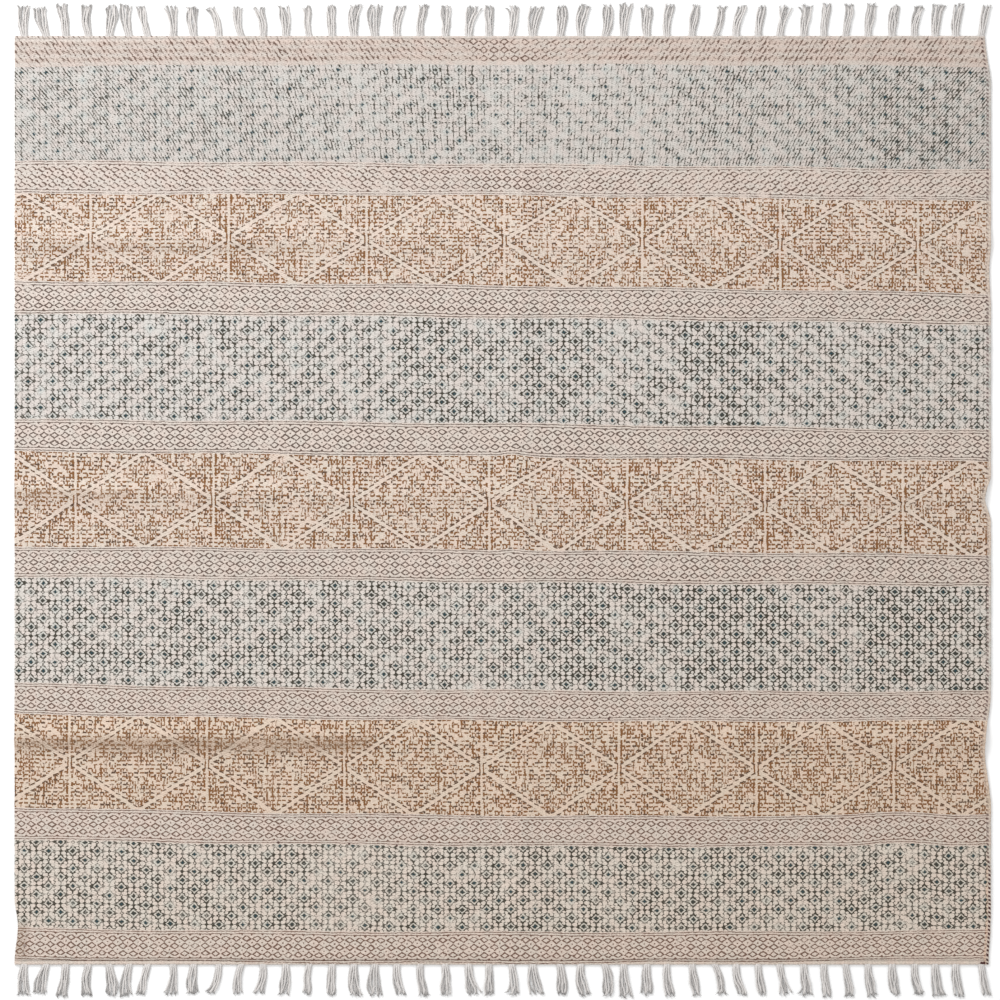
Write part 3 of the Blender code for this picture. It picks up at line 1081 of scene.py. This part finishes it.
def small_marks(x, y, blotch):
    """The spots and the broken dark lines, each with a wavering rim."""
    for spot in SPOTS:
        reach = ((x - spot.x) ** 2.0 + (y - spot.y) ** 2.0) ** 0.5
        yield inside(reach + (blotch - 0.5) * 2.0, spot.radius, 0.7) * spot.strength
    for streak in STREAKS:
        middle, half_length = (streak.upper + streak.lower) / 2, (streak.upper - streak.lower) / 2
        line = near(x + (blotch - 0.5) * 3.0, streak.x, 0.9) * near(y, middle, half_length, 6.0)
        yield line * (y + blotch * 30.0).wave(9.0).ramp(-0.6, 0.3) * streak.strength


def unprinted_cotton():
    tree, surface = new_material("unprinted_cotton")
    place = object_place(tree)
    grain, _ = place.noise(430.0, 1.5)
    beads, ribs = weave_beads(place)
    feed(surface.inputs["Base Color"], ground_colour(grain, beads, ribs))
    woven(surface, beads, ribs, grain)


def yarn_cotton():
    """Loosely twisted yarn, each a little different, streaked by its fibres and darker at its cut end. Its
    tone also holds painted shade on a tassel's lower yarns.
    """
    tree, surface = new_material("yarn_cotton")
    surface.inputs["Sheen Weight"].default_value = 0.15
    along, around, _ = lay_place(tree)
    fibres = (along / (TWIST_LENGTH / MM) * 6.0 + around * 6.0).swing(1.0)
    fuzz, _ = object_place(tree).noise(900.0, 2.0)
    share = attribute(tree, "tone") + fibres * 0.08 + fuzz.ramp(0.3, 0.7, -0.05, 0.25)
    dark, pale = shades(colours().yarn, PALE_YARN, DARK_YARN)
    feed(surface.inputs["Base Color"], share.most(0.0).least(1.0).blend(pale, dark))
    relief(surface, fibres * 0.4 + fuzz, 0.0005)


# ---------------------------------------------------------------- pieces


class RUG_OT_cloth(bpy.types.Operator):
    """Weave and print the cloth"""

    bl_idname = "rug.cloth"
    bl_label = "Cloth"

    def execute(self, context):
        for block in BLOCKS:
            printed_cotton(block)
        unprinted_cotton()
        columns = cloth_columns()
        downs, owners = band_lines(columns)
        sheet = sheet_part(columns, downs, owners, 1.0)
        cloth = joined_parts("rug_cloth", [sheet], [*PRINTED, "unprinted_cotton"])
        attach(cloth, "root")
        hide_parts("rug_body")
        return {"FINISHED"}


def lay_out_tassels():
    """One end's tassels from left to right, all a little different, with their tips apart."""
    chance = random.Random(TASSEL_SEED)
    tassels = []
    stretch_start = FIRST_ROOT
    tip_edge = 0.0
    for stretch in TASSEL_STRETCHES:
        for number in range(stretch.tassels):
            root = stretch_start + number * stretch.pitch + chance.uniform(-ROOT_SPREAD, ROOT_SPREAD)
            drawn = stretch.lean + chance.uniform(-stretch.lean_spread, stretch.lean_spread)
            reach = stretch.reach + chance.uniform(-REACH_SPREAD, REACH_SPREAD)
            tip_width = stretch.tip_width + chance.uniform(-TIP_SPREAD, TIP_SPREAD)
            least = tip_edge + TIP_CLEARANCE + tip_width / 2 - root
            most = RUG_WIDTH / MM - root - tip_width / 2
            lean = min(max(drawn, least), most)
            tassels.append(Tassel(root, lean, reach, tip_width))
            tip_edge = root + lean + tip_width / 2
        stretch_start += stretch.tassels * stretch.pitch
    return tassels


def tassel_yarns(tassel, chance):
    """Paths, radii and tones of one tassel's yarns at the upper end."""
    count, thickness = sizes().yarns, sizes().yarn_thickness
    share = np.linspace(0.0, 1.0, YARN_STATIONS)
    starts = np.linspace(-0.5, 0.5, count)
    ends = starts.copy()
    for first in range(count - 1):
        if chance.random() < CROSSING_CHANCE:
            ends[[first, first + 1]] = ends[[first + 1, first]]
    bend = chance.uniform(-TASSEL_BEND, TASSEL_BEND)
    lean = MM * (tassel.lean * share**1.25 + bend * np.sin(np.pi * share))
    bulge = chance.uniform(0.0, TASSEL_BULGE) * np.sin(np.pi * share)
    widening = (1 - (1 - share) ** 1.8) * (1 + bulge)
    width = ROOT_WIDTH + widening * (MM * tassel.tip_width - ROOT_WIDTH) - thickness
    paths, radii, tones = [], [], []
    for yarn in range(count):
        crossing = np.clip((share - chance.uniform(0.1, 0.5)) / 0.5, 0, 1)
        place = starts[yarn] + (ends[yarn] - starts[yarn]) * crossing
        swing = np.sin(share * chance.uniform(5, 11) + chance.uniform(0, 6.3))
        curl = MM * chance.uniform(*CURL) * share * swing
        flicked = np.clip((share - FLICK_FROM) / (1 - FLICK_FROM), 0, 1) ** 2
        flick = MM * chance.uniform(-FLICK, FLICK) * flicked
        x = MM * tassel.root - RUG_WIDTH / 2 + lean + place * width + curl + flick
        reach = MM * tassel.reach * chance.uniform(*YARN_REACH)
        y = HEADING_END - YARN_START + share * (reach + YARN_START)
        layer = (yarn % 2) * np.clip(share / 0.2, 0, 1) * (1.0 - 0.75 * share)
        z = thickness * (LOWEST + LAYER_HEIGHT * layer)
        slubs = np.sin(share * chance.uniform(10, 22) + chance.uniform(0, 6.3))
        thick = (0.90 + 0.10 * slubs) * thickness / 2 * np.where(share > END_FROM, 0.70, 1.0)
        cut = np.clip((share - CUT_FROM) / (1 - CUT_FROM), 0, 1)
        # Even yarns lie lower and grow darker towards their tips: painted shade under the yarns above them.
        # The random part is each yarn's own tone.
        tone = chance.uniform(0.0, 0.20) + 0.50 * (yarn % 2 == 0) * share**0.6
        paths.append(np.stack([x, y, z], axis=1))
        radii.append(thick)
        tones.append(tone + chance.uniform(0.2, 0.7) * cut)
    return paths, radii, tones


def yarn_hairs(path, chance):
    """Loose fibres that fan out of a yarn's cut end."""
    tip, ahead = path[-1], path[-1] - path[-4]
    ahead = ahead / np.linalg.norm(ahead)
    share = np.array([[0.0], [1.0], [2.0]])
    hairs = []
    for _ in range(HAIRS):
        aside = chance.uniform(-HAIR_FAN, HAIR_FAN)
        step = MM * chance.uniform(*HAIR_STEP)
        turned = np.array([ahead[0] + aside * ahead[1], ahead[1] - aside * ahead[0], 0.0])
        start = tip + MM * np.array([chance.uniform(-1.0, 1.0), -1.5, chance.uniform(-0.6, 0.6)])
        hair = start + share * step * turned
        hair[:, 0] += MM * chance.uniform(-0.5, 0.5) * share[:, 0] ** 2
        hairs.append(hair)
    return hairs


def yarn_strips(count):
    """The corner and the size of each yarn's strip in the bake map, in two columns."""
    rows = math.ceil(count / 2)
    height = YARNS_HEIGHT / rows
    return np.array([(0.5 * (n % 2), YARNS_FROM + height * (n // 2), 0.5, height) for n in range(count)])


def hair_strips(count):
    """The same for the hairs, in one row."""
    return np.array([(n / count, HAIRS_FROM, HAIR_WIDTH, HAIR_HEIGHT) for n in range(count)])


class RUG_OT_fringes(bpy.types.Operator):
    """Lay the tassels of both ends and weave their headings"""

    bl_idname = "rug.fringes"
    bl_label = "Fringes"

    def execute(self, context):
        yarn_cotton()
        paths, radii, tones, hairs = [], [], [], []
        chance = random.Random(YARN_SEED)
        for tassel in lay_out_tassels():
            yarns = tassel_yarns(tassel, chance)
            for yarn in yarns[0]:
                hairs += yarn_hairs(yarn, chance)
            for whole, some in zip((paths, radii, tones), yarns):
                whole += some
        hair_radii, hair_tones = (np.tile(row, (len(hairs), 1)) for row in (HAIR_RADII, HAIR_TONES))
        yarns = Strands(np.array(paths), np.array(radii), np.array(tones), YARN_SIDES, PLIES)
        hairs = Strands(np.array(hairs), MM * hair_radii, hair_tones, HAIR_SIDES, 0)
        fringes = [
            self.lay(1, "tassels_top", "fringe_top", yarns, hairs),
            self.lay(-1, "tassels_bottom", "fringe_bottom", yarns, hairs),
        ]
        return {"FINISHED"}

    def lay(self, end, name, node, yarns, hairs):
        """The heading and the strands of one end, mirrored where end is -1."""
        columns = cloth_columns()
        insets = np.array([*ROUNDING, HEADING_DEPTH])
        downs = np.tile(RUG_LENGTH / 2 - end * (HEADING_END - insets), (len(columns), 1)).T
        band = 0 if end > 0 else len(BANDS) - 1
        owners = [band] * (len(insets) - 1)
        parts = [sheet_part(columns, downs[::end], owners, HEADING_BAKE, end * HEADING_END)]
        for strands, strips_for in ((yarns, yarn_strips), (hairs, hair_strips)):
            mirrored = strands._replace(paths=strands.paths * (1.0, end, 1.0))
            parts.append(strands_part(mirrored, strips_for(len(strands.paths))))
        piece = joined_parts(name, parts, [*PRINTED, "yarn_cotton"])
        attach(piece, "root")
        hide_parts(node)
        return piece


class RUG_OT_stage(bpy.types.Operator):
    """Set the floor, the lights and the camera"""

    bl_idname = "rug.stage"
    bl_label = "Stage"

    def execute(self, context):
        scene = context.scene
        bpy.ops.object.select_all(action="DESELECT")
        bpy.ops.mesh.primitive_plane_add(size=FLOOR_SIZE, location=(0.0, 0.0, -FLOOR_DROP))
        floor = context.active_object
        floor.name = "floor"
        _, surface = new_material("floor_white")
        surface.inputs["Base Color"].default_value = FLOOR_COLOUR
        floor.data.materials.append(bpy.data.materials["floor_white"])

        scene.world = bpy.data.worlds.new("studio")
        scene.world.use_nodes = True
        room = scene.world.node_tree.nodes["Background"]
        room.inputs["Color"].default_value = (1.0, 1.0, 1.0, 1.0)
        room.inputs["Strength"].default_value = ROOM_LIGHT

        light = bpy.data.lights.new("key", "AREA")
        light.size = KEY_SIZE
        light.energy = KEY_ENERGY
        key = bpy.data.objects.new("key", light)
        key.location = KEY_PLACE
        key.rotation_euler = [math.radians(angle) for angle in KEY_TILT]

        data = bpy.data.cameras.new("camera")
        data.sensor_width = SENSOR
        data.lens = SENSOR * CAMERA_HEIGHT / VIEW_WIDTH
        data.clip_end = 100.0
        camera = bpy.data.objects.new("camera", data)
        camera.location = (*VIEW_CENTRE, CAMERA_HEIGHT)
        for thing in (key, camera):
            scene.collection.objects.link(thing)
        scene.camera = camera
        scene.view_settings.view_transform = "Standard"
        return {"FINISHED"}


class RUG_PT_panel(bpy.types.Panel):
    bl_label = "Dhurrie rug"
    bl_space_type = "VIEW_3D"
    bl_region_type = "UI"
    bl_category = "Rug"

    def draw(self, context):
        for group in (context.scene.rug_sizes, context.scene.rug_colours):
            for name in group.__annotations__:
                self.layout.prop(group, name)
        for operator in OPERATORS:
            self.layout.operator(operator.bl_idname)


OPERATORS = (RUG_OT_cloth, RUG_OT_fringes, RUG_OT_stage)
CLASSES = (RugSizes, RugColours, *OPERATORS, RUG_PT_panel)


def register():
    for cls in CLASSES:
        bpy.utils.register_class(cls)
    bpy.types.Scene.rug_sizes = bpy.props.PointerProperty(type=RugSizes)
    bpy.types.Scene.rug_colours = bpy.props.PointerProperty(type=RugColours)


def unregister():
    del bpy.types.Scene.rug_colours
    del bpy.types.Scene.rug_sizes
    for cls in reversed(CLASSES):
        bpy.utils.unregister_class(cls)


def main():
    register()
    bpy.ops.rug.cloth()
    bpy.ops.rug.fringes()
    bpy.ops.rug.stage()


if __name__ == "__main__":
    main()
